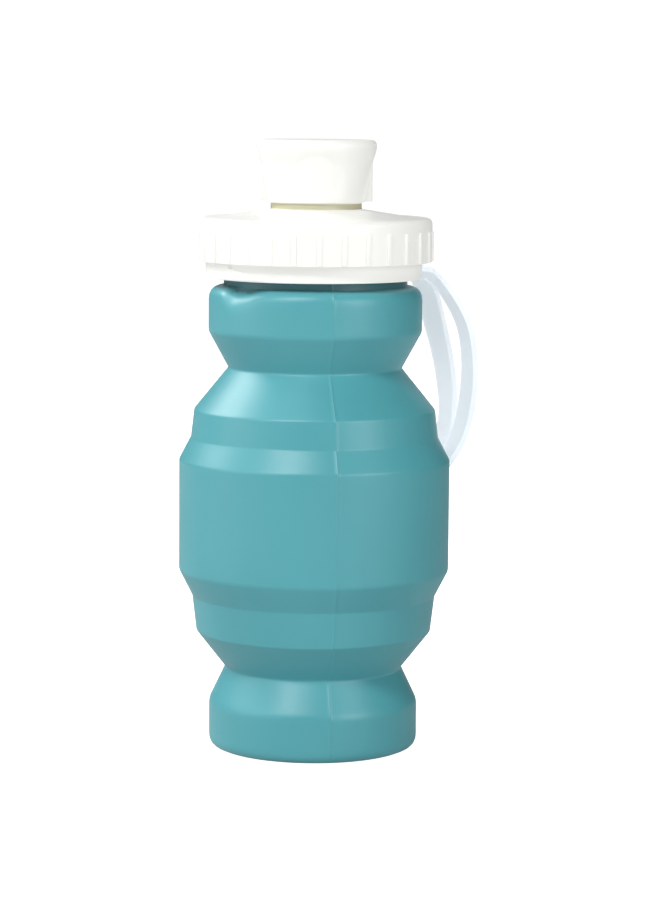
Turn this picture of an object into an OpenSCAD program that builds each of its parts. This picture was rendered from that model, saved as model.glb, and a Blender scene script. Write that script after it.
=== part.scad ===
// Folding water bottle: a pleated silicone body that collapses ring into ring, with a screw lid,
// a screw cap over the spout, and a carrying strap hinged at the collar.
// Millimetres, +Z up, origin at the centre of the flat underside.

/* [Silicone body] */
// Wall thickness of the stiff rings
ring_wall = 2.2; // [1.8:0.1:2.4]
// Wall thickness of the thin webs that flip over, measured level
web_wall = 1.6; // [1.2:0.1:2]
// Thickness of the floor of the base
floor_t = 2.6; // [2:0.1:4]

/* [Base cup] */
// Outer radius of the base wall
base_r = 32.2; // [31:0.1:33]
// Rounding of the bottom edge
base_round = 3.4; // [2:0.1:5]
// Height of the top of the upright base wall
base_wall_z = 14.2; // [12:0.1:16]
// Outer radius of the lower valley
low_valley_r = 27.2; // [26:0.1:28]
// Height of the lower valley
low_valley_z = 24.7; // [23:0.1:26]

/* [Lower ring] */
// Outer radius at the bottom edge of the lower ring
low_ring_bottom_r = 36.2; // [35.5:0.1:36.6]
// Height of that bottom edge
low_ring_bottom_z = 36.2; // [35:0.1:37]
// Outer radius at the top crease of the lower ring
low_ring_top_r = 37.5; // [36.5:0.1:37.8]
// Height of that top crease
low_ring_top_z = 47.1; // [46:0.1:48]

/* [Barrel] */
// Outer radius of the barrel
barrel_r = 41.6; // [41.2:0.1:42]
// Height of the barrel's bottom edge
barrel_bottom_z = 55.1; // [54:0.1:56]
// Height of the barrel's top edge
barrel_top_z = 89.1; // [88:0.1:90]

/* [Upper ring] */
// Outer radius at the bottom crease of the upper ring
up_ring_bottom_r = 38.0; // [37.5:0.1:38.3]
// Height of that bottom crease
up_ring_bottom_z = 96.0; // [95:0.1:97]
// Outer radius at the top edge of the upper ring
up_ring_top_r = 37.0; // [36.6:0.1:37.4]
// Height of that top edge
up_ring_top_z = 104.6; // [104:0.1:105.5]

/* [Neck] */
// Outer radius of the upper valley
up_valley_r = 26.6; // [26.2:0.1:27]
// Height of the upper valley
up_valley_z = 117.4; // [117:0.1:118]
// Outer radius of the neck wall
neck_r = 32.7; // [32:0.1:33]
// Height where the neck wall starts
neck_wall_z = 128.6; // [128:0.1:130]
// Height where the rounded shoulder starts
shoulder_z = 138.0; // [137:0.1:138.5]
// Outer radius of the throat inside the collar
throat_r = 28.1; // [28:0.1:28.4]

/* [Collar] */
// Outer radius of the collar's plain wall
collar_r = 32.5; // [32:0.1:32.6]
// Height of the collar's lower edge
collar_z = 144.9; // [144.5:0.1:145.2]
// Height of the collar's rim
collar_rim_z = 160; // [159.6:0.1:160.4]
// How far the raised stop stands out from the collar's wall
stop_rise = 1.2; // [0.8:0.1:1.4]

/* [Lid] */
// Outer radius over the lid's ribs
lid_r = 36.2; // [36:0.1:36.6]
// Height of the skirt's lower edge
lid_z = 150; // [149.8:0.1:150.2]
// Number of ribs round the skirt
rib_count = 30; // [24:1:36]
// How far a rib stands out
rib_rise = 0.5; // [0.3:0.05:0.7]
// Inner radius of the spout
spout_bore_r = 10.2; // [9:0.1:10.4]

/* [Cap] */
// Height of the cap's lower edge
cap_z = 168; // [167.9:0.1:168.3]
// Height of the cap's top
cap_top_z = 187; // [186.8:0.1:188]
// Outer radius of the cap's body at the bottom
cap_bottom_r = 14.8; // [14.7:0.1:15.4]
// Outer radius of the cap's side wings
cap_wing_r = 17.1; // [16.8:0.1:17.4]
// Outer radius of the bead at the cap's top
cap_bead_r = 18.4; // [18:0.1:18.8]
// Width of a side wing
cap_wing_w = 5; // [3:0.5:14]

/* [Threads] */
// Turns of ridge on each threaded part
thread_turns = 1.5; // [1:0.25:1.5]

/* [Strap] */
// Direction in which the strap leaves the collar, in degrees from +X towards +Y
strap_dir = 33; // [20:1:40]
// Width of one leg of the strap
strap_w = 7.5; // [6:0.1:7.5]
// Thickness of the strap
strap_t = 2.2; // [1.6:0.1:2.2]

/* [Hidden] */
$fn = 96;

TEAL = [0.36, 0.66, 0.69];
WHITE = [0.96, 0.96, 0.94];
MILKY = [0.88, 0.91, 0.94];
CLEAR_SEAL = [0.80, 0.84, 0.84];

// The throat of the silicone neck, held between collar and insert
throat_wall = 2.3;
throat_top_z = 151.5;
bead_h = 2;
bead_out = 0.9;

// The collar above its plain wall
collar_step_z = 150.6;
collar_root_r = 31.0;
collar_bore_r = throat_r + bead_out;
stop_from = 150;
stop_to = 219;

// Insert ring
insert_r = 24.0;
insert_bottom_z = 142.4;
insert_flange_t = 1.8;

// Lid shell
lid_inner_r = 32.9;
lid_ceiling_z = 161.6;
lid_corner = 1.9;
rib_top_z = 159.3;
rib_w = 1.3;
lid_body_r = lid_r - rib_rise;
// The dome, from its outer edge up to the ring at the spout's foot
dome_edge = [28, 163.7];
dome_top = [13.9, 165.9];
spout_ring_z = cap_z - 0.2;
spout_root_r = 12.0;
spout_top_z = 182;
spout_chamfer = 0.6;
// Where the ceiling's flare meets the spout's bore
flare_r = 12.4;
flare_z = 163.8;
gasket_in_r = 28.4;
gasket_out_r = 32.6;

// Cap shell
cap_inner_r = 13.55;
cap_ceiling_z = 184;
cap_neck_z = 180;
cap_flare_z = 183.2;
cap_corner = 2.2;
seal_r = 12.9;

// Thread ridges: rise in one turn, depth beyond the wall, width at root and crest, how far the root is
// sunk. The joints' coupling is worked out from this rise.
pitch = 4;
ridge_out_collar = 1.4;
ridge_in_lid = 1.4;
ridge_out_spout = 1.1;
ridge_in_cap = 1.1;
ridge_root_w = 1.6;
ridge_crest_w = 0.8;
ridge_sink = 0.5;
ridge_steps = 30;
collar_thread_z = 152.6;
spout_thread_z = 171.5;

// Strap: where it hinges, and the route of its middle, each [distance out, height, half gap of the legs]
hinge_out = 37.6;
hinge_z = 147.2;
tab_w = 2 * strap_w;
tab_root = 30.2;
tab_end = 36.0;
root_end = [41.4, 143.4];
strap_route = [[40.2, 144.7, 4.2], [42.6, 141.4, 4.4], [44.8, 137.6, 5.4], [47.4, 132.8, 7.2],
               [49.8, 128.0, 8.0], [51.9, 121.8, 8.1], [53.3, 114.5, 8.1], [53.8, 107.5, 8.0],
               [53.6, 101.0, 7.6], [52.2, 95.2, 7.0], [49.8, 90.4, 6.4]];
loop_tip = [45.6, 83.9];
// The loop's flat turns a little towards the front on its way down
flat_top = 36;
flat_bottom = 19;
curl_top = 12;

// A turned shell between two levels, with sloped outer and inner faces
module turned_wall(r_low, z_low, r_high, z_high, wall_t) {
    rotate_extrude()
        polygon([[r_low - wall_t, z_low], [r_low, z_low], [r_high, z_high], [r_high - wall_t, z_high]]);
}

// Points of an arc about [cr, cz]
function arc(cr, cz, r, from, to, steps = 8) =
    [for (i = [0:steps]) let (a = from + (to - from) * i / steps) [cr + r * cos(a), cz + r * sin(a)]];

module base_cup() {
    color(TEAL)
    rotate_extrude() {
        union() {
            difference() {
                union() {
                    translate([0, base_round]) square([base_r, base_wall_z - base_round]);
                    square([base_r - base_round, base_wall_z]);
                    translate([base_r - base_round, base_round])
                        intersection() {
                            circle(r = base_round);
                            translate([0, -base_round]) square(base_round);
                        }
                }
                translate([-1, floor_t]) square([base_r - ring_wall + 1, base_wall_z]);
            }
            polygon([[base_r - ring_wall, base_wall_z], [base_r, base_wall_z],
                     [low_valley_r, low_valley_z], [low_valley_r - ring_wall, low_valley_z]]);
        }
    }
}

module lower_fold_web() {
    color(TEAL)
    turned_wall(low_valley_r, low_valley_z, low_ring_bottom_r, low_ring_bottom_z, web_wall);
}

module lower_ring() {
    color(TEAL)
    turned_wall(low_ring_bottom_r, low_ring_bottom_z, low_ring_top_r, low_ring_top_z, ring_wall);
}

module lower_shoulder_web() {
    color(TEAL)
    turned_wall(low_ring_top_r, low_ring_top_z, barrel_r, barrel_bottom_z, web_wall);
}

module barrel() {
    color(TEAL)
    turned_wall(barrel_r, barrel_bottom_z, barrel_r, barrel_top_z, ring_wall);
}

module upper_shoulder_web() {
    color(TEAL)
    turned_wall(barrel_r, barrel_top_z, up_ring_bottom_r, up_ring_bottom_z, web_wall);
}

module upper_ring() {
    color(TEAL)
    turned_wall(up_ring_bottom_r, up_ring_bottom_z, up_ring_top_r, up_ring_top_z, ring_wall);
}

module upper_fold_web() {
    color(TEAL)
    turned_wall(up_ring_top_r, up_ring_top_z, up_valley_r, up_valley_z, web_wall);
}

// Neck: valley, outward cone, upright wall, rounded shoulder, then the throat with its bead
module neck_section() {
    shoulder = neck_r - throat_r;
    inner_shoulder = shoulder - ring_wall + throat_wall;
    inner_r = throat_r - throat_wall;
    color(TEAL)
    union() {
        turned_wall(up_valley_r, up_valley_z, neck_r, neck_wall_z, ring_wall);
        turned_wall(neck_r, neck_wall_z, neck_r, shoulder_z, ring_wall);
        rotate_extrude()
            difference() {
                intersection() {
                    translate([throat_r, shoulder_z]) circle(r = shoulder);
                    translate([inner_r, shoulder_z]) square([shoulder + throat_wall, shoulder]);
                }
                translate([throat_r, shoulder_z]) circle(r = shoulder - ring_wall);
            }
        rotate_extrude()
            translate([inner_r, shoulder_z + shoulder - ring_wall])
                square([throat_wall, throat_top_z - shoulder_z - shoulder + ring_wall]);
        rotate_extrude()
            translate([inner_r, throat_top_z - bead_h]) square([throat_wall + bead_out, bead_h]);
    }
}

// One helical ridge, standing out of a wall (or into a bore where crest_r is less than root_r)
function ridge_height(i, n) = min(1, 0.12 + i / 4, 0.12 + (n - i) / 4);
function ridge_ring(root_r, crest_r, z, a, h) =
    let (c = root_r + (crest_r - root_r) * h)
    [[root_r * cos(a), root_r * sin(a), z - ridge_root_w / 2],
     [c * cos(a), c * sin(a), z - ridge_crest_w / 2],
     [c * cos(a), c * sin(a), z + ridge_crest_w / 2],
     [root_r * cos(a), root_r * sin(a), z + ridge_root_w / 2]];

module thread_ridge(root_r, crest_r, z_start, a_start) {
    n = ceil(thread_turns * ridge_steps);
    points = [for (i = [0:n]) let (a = a_start + 360 * i / ridge_steps)
              each ridge_ring(root_r, crest_r, z_start + pitch * i / ridge_steps, a, ridge_height(i, n))];
    sides = [for (i = [0:n - 1], k = [0:3]) let (p = 4 * i + k, q = 4 * i + (k + 1) % 4)
             each [[p, q, q + 4], [p, q + 4, p + 4]]];
    ends = [[3, 2, 1], [3, 1, 0], [4 * n, 4 * n + 1, 4 * n + 2], [4 * n, 4 * n + 2, 4 * n + 3]];
    faces = concat(sides, ends);
    polyhedron(points, crest_r < root_r ? [for (f = faces) [f[2], f[1], f[0]]] : faces);
}

module strap_frame() {
    rotate([0, 0, strap_dir]) children();
}

module neck_collar() {
    color(WHITE)
    union() {
        difference() {
            rotate_extrude()
                polygon([[throat_r, collar_z], [collar_r, collar_z], [collar_r, collar_step_z],
                         [collar_root_r, collar_step_z], [collar_root_r, collar_rim_z],
                         [collar_bore_r, collar_rim_z], [collar_bore_r, throat_top_z - bead_h],
                         [throat_r, throat_top_z - bead_h]]);
            strap_frame()
                translate([tab_root, -tab_w / 2, hinge_z - strap_t / 2]) cube([5, tab_w, strap_t]);
        }
        rotate([0, 0, stop_from]) rotate_extrude(angle = stop_to - stop_from)
            translate([collar_r - 1, collar_z + 0.5]) square([1 + stop_rise, lid_z - collar_z - 0.9]);
        thread_ridge(collar_root_r - ridge_sink, collar_root_r + ridge_out_collar, collar_thread_z, 0);
    }
}

module neck_insert() {
    color(WHITE)
    rotate_extrude()
        polygon([[insert_r, insert_bottom_z], [throat_r - throat_wall, insert_bottom_z],
                 [throat_r - throat_wall, throat_top_z], [collar_bore_r, throat_top_z],
                 [collar_bore_r, throat_top_z + insert_flange_t],
                 [insert_r, throat_top_z + insert_flange_t]]);
}

module lid_gasket() {
    color(CLEAR_SEAL)
    rotate_extrude()
        translate([gasket_in_r, collar_rim_z])
            square([gasket_out_r - gasket_in_r, lid_ceiling_z - collar_rim_z]);
}

module screw_lid() {
    color(WHITE)
    union() {
        rotate_extrude()
            polygon(concat(
                [[lid_inner_r, lid_z], [lid_body_r, lid_z]],
                arc(lid_body_r - lid_corner, rib_top_z + lid_corner + 0.2, lid_corner, 0, 90),
                [dome_edge, dome_top, [dome_top[0], spout_ring_z], [spout_root_r, spout_ring_z],
                 [spout_root_r, spout_top_z - spout_chamfer], [spout_root_r - spout_chamfer, spout_top_z],
                 [spout_bore_r, spout_top_z], [spout_bore_r, flare_z], [flare_r, flare_z],
                 [gasket_in_r - 1, lid_ceiling_z], [lid_inner_r, lid_ceiling_z]]));
        for (i = [0:rib_count - 1])
            rotate([0, 0, 360 * (i + 0.5) / rib_count])
                translate([lid_body_r - 0.6, -rib_w / 2, lid_z + 0.3])
                    cube([rib_rise + 0.6, rib_w, rib_top_z - lid_z - 0.3]);
        thread_ridge(lid_inner_r + ridge_sink, lid_inner_r - ridge_in_lid, collar_thread_z, -180);
        thread_ridge(spout_root_r - ridge_sink, spout_root_r + ridge_out_spout, spout_thread_z, 0);
    }
}

module cap_seal() {
    color(CLEAR_SEAL)
    translate([0, 0, spout_top_z]) cylinder(r = seal_r, h = cap_ceiling_z - spout_top_z);
}

module drinking_cap() {
    color(WHITE)
    union() {
        difference() {
            union() {
                rotate_extrude()
                    polygon(concat(
                        [[0, cap_z], [cap_bottom_r, cap_z], [cap_wing_r, cap_neck_z],
                         [cap_bead_r - 0.3, cap_flare_z]],
                        arc(cap_bead_r - cap_corner, cap_top_z - cap_corner, cap_corner, 0, 90),
                        [[0, cap_top_z]]));
                intersection() {
                    translate([0, 0, cap_z]) cylinder(r = cap_wing_r, h = cap_neck_z - cap_z);
                    translate([-20, -cap_wing_w / 2, cap_z]) cube([40, cap_wing_w, cap_neck_z - cap_z]);
                }
            }
            translate([0, 0, cap_z - 1]) cylinder(r = cap_inner_r, h = cap_ceiling_z - cap_z + 1);
        }
        thread_ridge(cap_inner_r + ridge_sink, cap_inner_r - ridge_in_cap, spout_thread_z, -180);
    }
}

// The fixed root of the strap, caught in the collar's pocket
module strap_tab() {
    color(MILKY)
    strap_frame()
        translate([tab_root, -tab_w / 2, hinge_z - strap_t / 2])
            cube([tab_end - tab_root, tab_w, strap_t]);
}

// Strap loop: one band swept down one leg, round the end and up the other leg.
// A station is [middle point, direction of the band's width, direction of its thickness].
function unit(v) = v / norm(v);
function flat_of(z) =
    flat_bottom + (flat_top - flat_bottom) * min(1, max(0, (z - 100) / 30));
function curl_of(z) = curl_top * min(1, max(0, (z - 100) / 30));
function middle(out, z) = [out * cos(strap_dir), out * sin(strap_dir), z];
function across(a) = [-sin(a), cos(a), 0];
function leg_point(p, side) = middle(p[0], p[1]) + side * p[2] * across(flat_of(p[1]));
leg_n = len(strap_route);
turn_n = 7;
// The points of the whole band, front leg down, end turn, rear leg up
band = concat(
    [for (i = [0:leg_n - 1]) leg_point(strap_route[i], -1)],
    [for (i = [1:turn_n]) let (a = 180 * i / (turn_n + 1), c = strap_route[leg_n - 1][2],
                               s = sin(a), last = strap_route[leg_n - 1])
        let (out = last[0] + (loop_tip[0] - last[0]) * s, z = last[1] + (loop_tip[1] - last[1]) * s)
        middle(out, z) - cos(a) * c * across(flat_bottom)],
    [for (i = [leg_n - 1:-1:0]) leg_point(strap_route[i], 1)]);
band_n = len(band);
function along(i) = unit(band[min(i + 1, band_n - 1)] - band[max(i - 1, 0)]);
// Outward normal of the band: level, square to the strap's flat, turned by the curl of each leg
function facing(i) =
    let (z = band[i][2], side = i < leg_n ? -1 : i >= leg_n + turn_n ? 1 : 0,
         a = flat_of(z) + side * curl_of(z), drop = i < leg_n ? i : band_n - 1 - i,
         k = min(leg_n - 1, max(0, drop)), up = slope_up(k))
    [cos(a) * cos(up), sin(a) * cos(up), sin(up)];
function slope_up(k) =
    let (a = strap_route[max(0, k - 1)], b = strap_route[min(leg_n - 1, k + 1)])
    atan2(b[0] - a[0], a[1] - b[1]);
function station(i) =
    let (t = along(i), n = facing(i), w = unit(cross(n, t)), m = unit(cross(t, w)))
    [band[i] + w * strap_w / 2 + m * strap_t / 2, band[i] + w * strap_w / 2 - m * strap_t / 2,
     band[i] - w * strap_w / 2 - m * strap_t / 2, band[i] - w * strap_w / 2 + m * strap_t / 2];

module strap_band() {
    points = [for (i = [0:band_n - 1]) each station(i)];
    sides = [for (i = [0:band_n - 2], k = [0:3]) let (p = 4 * i + k, q = 4 * i + (k + 1) % 4)
             each [[p, q, q + 4], [p, q + 4, p + 4]]];
    last = 4 * (band_n - 1);
    ends = [[3, 2, 1], [3, 1, 0], [last, last + 1, last + 2], [last, last + 2, last + 3]];
    polyhedron(points, concat(sides, ends));
}

module strap_loop() {
    color(MILKY)
    union() {
        strap_band();
        strap_frame() strap_root();
    }
}

// Short flat from the hinge line into the legs, a little fuller than they are, with a round hinge edge
module strap_root() {
    full_t = strap_t + 0.4;
    full_w = tab_w + 1.6;
    tilt = atan2(hinge_z - root_end[1], root_end[0] - hinge_out);
    run = norm([root_end[0] - hinge_out, hinge_z - root_end[1]]);
    translate([hinge_out, full_w / 2, hinge_z]) rotate([90, 0, 0])
        linear_extrude(full_w) rotate(-tilt) union() {
            circle(r = full_t / 2);
            translate([0, -full_t / 2]) square([run, full_t]);
        }
}

base_cup();
lower_fold_web();
lower_ring();
lower_shoulder_web();
barrel();
upper_shoulder_web();
upper_ring();
upper_fold_web();
neck_section();
neck_collar();
neck_insert();
strap_tab();
strap_loop();
lid_gasket();
screw_lid();
cap_seal();
drinking_cap();
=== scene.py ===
# %% [markdown]
# # A folding silicone water bottle
# The CAD model gives every size, every place and every joint of this bottle. This script builds the skin
# that the eye sees round that frame: the pleated silicone body, the collar with its thread, the ribbed
# lid, the drinking cap, the seals and the carrying strap. Each step first says what the piece is on the
# real bottle, how it could be made, and why this way was chosen.

# %% Load the frame
import bpy, bmesh, math
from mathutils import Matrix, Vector


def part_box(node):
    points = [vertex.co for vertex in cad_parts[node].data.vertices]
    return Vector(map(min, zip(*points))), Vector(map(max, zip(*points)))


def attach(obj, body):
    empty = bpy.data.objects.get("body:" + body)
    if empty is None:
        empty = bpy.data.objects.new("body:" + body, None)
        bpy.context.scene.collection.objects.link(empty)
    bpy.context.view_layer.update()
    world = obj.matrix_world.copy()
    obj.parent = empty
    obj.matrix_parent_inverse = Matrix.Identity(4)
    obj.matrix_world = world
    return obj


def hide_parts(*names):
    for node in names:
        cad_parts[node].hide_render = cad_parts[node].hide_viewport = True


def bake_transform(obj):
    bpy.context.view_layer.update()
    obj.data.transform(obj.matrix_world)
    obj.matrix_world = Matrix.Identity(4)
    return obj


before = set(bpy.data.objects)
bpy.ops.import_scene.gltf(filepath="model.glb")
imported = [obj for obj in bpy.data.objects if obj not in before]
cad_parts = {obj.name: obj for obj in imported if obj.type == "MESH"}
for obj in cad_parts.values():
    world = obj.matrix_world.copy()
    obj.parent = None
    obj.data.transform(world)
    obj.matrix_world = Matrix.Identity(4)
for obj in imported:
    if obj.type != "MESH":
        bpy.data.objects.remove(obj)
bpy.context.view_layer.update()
MM = 0.001


# %% [markdown]
# ## Small tools
# Almost everything on a bottle is round, so most pieces are turned like a pot: draw half of the outline,
# then spin it about the axis. The helpers below clear the selection, give a place as distance, direction
# and height, and pick faces, edges or corners by where they lie and which way they look.

# %% Selection helpers
def clear():
    """Leaves edit mode and deselects everything, so that the next operator meets only its own piece."""
    if bpy.context.mode != "OBJECT":
        bpy.ops.object.mode_set(mode="OBJECT")
    bpy.ops.object.select_all(action="DESELECT")


def polar(place):
    """Distance from the axis in mm, direction in degrees from +X, and height in mm."""
    return (math.hypot(place.x, place.y) / MM, math.degrees(math.atan2(place.y, place.x)) % 360,
            place.z / MM)


def outward(place, normal):
    """How far a normal looks away from the axis: 1 straight out, -1 straight in, 0 along it."""
    return normal.dot(Vector((place.x, place.y, 0)).normalized())


def edit(piece, kind):
    """Opens a piece in edit mode with nothing selected. kind is VERT, EDGE or FACE."""
    clear()
    bpy.context.view_layer.objects.active = piece
    piece.select_set(True)
    bpy.ops.object.mode_set(mode="EDIT")
    bpy.ops.mesh.select_mode(type=kind)
    bpy.ops.mesh.select_all(action="DESELECT")


def pick_faces(piece, test):
    """Selects the faces whose middle and normal pass the test, and returns how many there are."""
    edit(piece, "FACE")
    mesh = bmesh.from_edit_mesh(piece.data)
    chosen = [face for face in mesh.faces if test(face.calc_center_median(), face.normal)]
    for face in chosen:
        face.select_set(True)
    bmesh.update_edit_mesh(piece.data)
    return len(chosen)


def pick_edges(piece, test):
    """Selects the edges that pass the test, and returns how many there are."""
    edit(piece, "EDGE")
    mesh = bmesh.from_edit_mesh(piece.data)
    chosen = [edge for edge in mesh.edges if test(edge)]
    for edge in chosen:
        edge.select_set(True)
    bmesh.update_edit_mesh(piece.data)
    return len(chosen)


def apart(a, b):
    """Smallest angle between two directions in degrees."""
    return abs((a - b + 180) % 360 - 180)


# %% [markdown]
# A turned piece starts as an outline. Only its corners are listed, each with the distance at which
# its rounding starts. `soften` puts the round corners in, and `fine` adds points to long stretches,
# because a web that has to fold needs places to bend. The line is drawn by extruding one point from place
# to place, and spun. Merging doubles closes the seam and the poles, and recalculating turns every face
# outwards.

# %% Turning helpers
def soften(corners, closed=True, pieces=5):
    """Rounds the corners (distance, height, start of rounding) of an outline in mm."""
    line, last = [], len(corners) - 1
    for i, (r, z, cut) in enumerate(corners):
        here = Vector((r, z))
        if not cut or (not closed and i in (0, last)):
            line.append(here)
            continue
        before = Vector(corners[i - 1][:2]) - here
        after = Vector(corners[(i + 1) % len(corners)][:2]) - here
        a, b = here + before.normalized() * cut, here + after.normalized() * cut
        line += [a.lerp(here, s).lerp(here.lerp(b, s), s) for s in (k / pieces for k in range(pieces + 1))]
    return line


def fine(line, longest, closed=True):
    """Adds points so that no stretch of the line is longer than the given length."""
    made = []
    for i, here in enumerate(line):
        made.append(here)
        if i == len(line) - 1 and not closed:
            break
        after = line[(i + 1) % len(line)]
        count = math.ceil((after - here).length / longest)
        made += [here.lerp(after, k / count) for k in range(1, count)]
    return made


def turned(name, line, steps, closed=True):
    """A turned piece from an outline of (distance, height) points in mm."""
    clear()
    x, z = line[0]
    bpy.ops.mesh.primitive_plane_add(size=MM, location=(x * MM, 0, z * MM))
    piece = bpy.context.object
    piece.name = piece.data.name = name
    bpy.ops.object.transform_apply(location=True)
    bpy.ops.object.mode_set(mode="EDIT")
    bpy.ops.mesh.select_mode(type="VERT")
    bpy.ops.mesh.select_all(action="SELECT")
    bpy.ops.mesh.merge(type="CENTER")
    for next_x, next_z in line[1:] + (line[:1] if closed else []):
        bpy.ops.mesh.extrude_region_move(
            TRANSFORM_OT_translate={"value": ((next_x - x) * MM, 0, (next_z - z) * MM)})
        x, z = next_x, next_z
    bpy.ops.mesh.select_all(action="SELECT")
    bpy.ops.mesh.remove_doubles(threshold=0.0005 * MM)
    bpy.ops.mesh.spin(steps=steps, angle=math.tau, center=(0, 0, 0), axis=(0, 0, 1))
    bpy.ops.mesh.select_all(action="SELECT")
    bpy.ops.mesh.remove_doubles(threshold=0.0005 * MM)
    bpy.ops.mesh.normals_make_consistent(inside=False)
    bpy.ops.object.mode_set(mode="OBJECT")
    return piece


def finish(piece, angle=32):
    """Smooth shading with crisp edges, and a look at the result."""
    clear()
    bpy.context.view_layer.objects.active = piece
    piece.select_set(True)
    bpy.ops.object.shade_smooth_by_angle(angle=math.radians(angle))
    mesh = bmesh.new()
    mesh.from_mesh(piece.data)
    loose = sum(1 for edge in mesh.edges if len(edge.link_faces) != 2)
    triangles = sum(len(face.verts) - 2 for face in mesh.faces)
    volume = mesh.calc_volume() / MM ** 3
    print(f"{piece.name}: {triangles} triangles, {loose} open edges, volume {volume:.0f} mm3")
    mesh.free()
    return piece


def modifier(piece, kind, **settings):
    """Adds a modifier with these settings and applies it."""
    clear()
    bpy.context.view_layer.objects.active = piece
    piece.select_set(True)
    added = piece.modifiers.new(kind, kind)
    for key, value in settings.items():
        setattr(added, key, value)
    bpy.ops.object.modifier_apply(modifier=added.name)


# %% [markdown]
# ## Sizes
# The frame gives most of the sizes: the rings' edges are the top and bottom of the CAD sections, and
# their distance from the axis is the section's reach in X. The two valleys, which are narrower than what
# is around them, the height of the base's straight wall and the thickness of the walls are written down
# here.

# %% Levels and radii of the body
def reach(node):
    """The largest distance of a CAD node in +X, and its lowest and highest level, in mm."""
    low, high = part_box(node)
    return high.x / MM, low.z / MM, high.z / MM


base_r, _, low_valley_z = reach("base_cup")
low_ring_bottom_r = reach("lower_fold_web")[0]
low_ring_top_r, low_ring_bottom_z, low_ring_top_z = reach("lower_ring")
barrel_r, barrel_bottom_z, barrel_top_z = reach("barrel")
up_ring_bottom_r, up_ring_bottom_z, up_ring_top_z = reach("upper_ring")
up_ring_top_r = reach("upper_fold_web")[0]
neck_r, up_valley_z, throat_top_z = reach("neck_section")
low_valley_r, up_valley_r = 27.2, 26.6
base_wall_z, floor_t = 14.2, 2.6
ring_wall, crease_wall = 2.2, 1.9
print(f"barrel {2 * barrel_r:.1f} mm across, valleys at {low_valley_z:.1f} and {up_valley_z:.1f} mm")

# %% [markdown]
# ## The silicone body
# On the real bottle the body is one moulding of coloured silicone. Stiff rings stay as they are, and thin
# webs between them flip over when the bottle is pushed together. A skin that follows two bodies can bend
# across one joint only, so the body is made of four closed skins that meet in the middle of a ring, where
# nothing bends and the two surfaces run on in one line. Each has its outer side, its inner side, and a
# flat ring at a cut.

# %% The four skins
STEPS = 180
low_cut, mid_cut, up_cut = ((low_ring_bottom_z + low_ring_top_z) / 2, (barrel_bottom_z + barrel_top_z) / 2,
                            (up_ring_bottom_z + up_ring_top_z) / 2)
low_cut_r = (low_ring_bottom_r + low_ring_top_r) / 2
up_cut_r = (up_ring_bottom_r + up_ring_top_r) / 2
FOLD_STEP = 1.0


def skin(name, corners, closed=True):
    return turned(name, fine(soften(corners, closed), FOLD_STEP, closed), STEPS, closed)


base_skin = skin("silicone_base", [
    (0, 0, 0), (base_r, 0, 3.4), (base_r, base_wall_z, 1.4), (low_valley_r, low_valley_z, 0.6),
    (low_ring_bottom_r, low_ring_bottom_z, 0.35), (low_cut_r, low_cut, 0),
    (low_cut_r - ring_wall, low_cut, 0), (low_ring_bottom_r - crease_wall, low_ring_bottom_z, 0.3),
    (low_valley_r - crease_wall, low_valley_z, 0.5), (base_r - ring_wall, base_wall_z, 1),
    (base_r - ring_wall, floor_t, 1.5), (0, floor_t, 0)], closed=False)

lower_skin = skin("silicone_lower_shoulder", [
    (low_cut_r, low_cut, 0), (low_ring_top_r, low_ring_top_z, 0.35), (barrel_r, barrel_bottom_z, 0.8),
    (barrel_r, mid_cut, 0), (barrel_r - ring_wall, mid_cut, 0),
    (barrel_r - ring_wall, barrel_bottom_z, 0.6), (low_ring_top_r - crease_wall, low_ring_top_z, 0.3),
    (low_cut_r - ring_wall, low_cut, 0)])

upper_skin = skin("silicone_upper_shoulder", [
    (barrel_r, mid_cut, 0), (barrel_r, barrel_top_z, 0.6), (up_ring_bottom_r, up_ring_bottom_z, 0.35),
    (up_cut_r, up_cut, 0), (up_cut_r - ring_wall, up_cut, 0),
    (up_ring_bottom_r - crease_wall, up_ring_bottom_z, 0.3), (barrel_r - ring_wall, barrel_top_z, 0.5),
    (barrel_r - ring_wall, mid_cut, 0)])

# %% [markdown]
# The neck's skin goes on past the collar: a round shoulder, a narrow throat and a small bead that the
# collar grips, so that the bottle is complete inside too.

# %% The neck's skin
neck_wall_z, shoulder_round, shoulder_top_z = 128.6, 4.5, 142.6
throat_r, throat_inner_r, bead_r, bead_z = 28.1, 25.8, 29.0, 149.5
neck_skin = skin("silicone_neck", [
    (up_cut_r, up_cut, 0), (up_ring_top_r, up_ring_top_z, 0.5), (up_valley_r, up_valley_z, 0.55),
    (neck_r, neck_wall_z, 0.9), (neck_r, shoulder_top_z, shoulder_round), (throat_r, shoulder_top_z, 0.05),
    (throat_r, bead_z, 0.1), (bead_r, bead_z, 0.2), (bead_r, throat_top_z, 0.4),
    (throat_inner_r, throat_top_z, 0.2), (throat_inner_r, shoulder_top_z - ring_wall, 0.4),
    (neck_r - ring_wall, shoulder_top_z - ring_wall, 2.2), (neck_r - ring_wall, neck_wall_z, 0.8),
    (up_valley_r - crease_wall, up_valley_z, 0.5), (up_ring_top_r - crease_wall, up_ring_top_z, 0.4),
    (up_cut_r - ring_wall, up_cut, 0)])
print("rings of the neck's outline:", len(neck_skin.data.vertices) // STEPS)

# %% [markdown]
# The mould closes in two halves, and leaves a fine raised line down the front right and down the back. A
# texture would stay flat at the silhouette, so the line is real: the column of edges there is bevelled
# into two narrow strips, and the points between them are lifted by a tenth of a millimetre.

# %% Parting line
LINE_AT = (280, 100)
LINE_HALF_WIDTH, LINE_RISE = 0.2, 0.1


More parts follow.
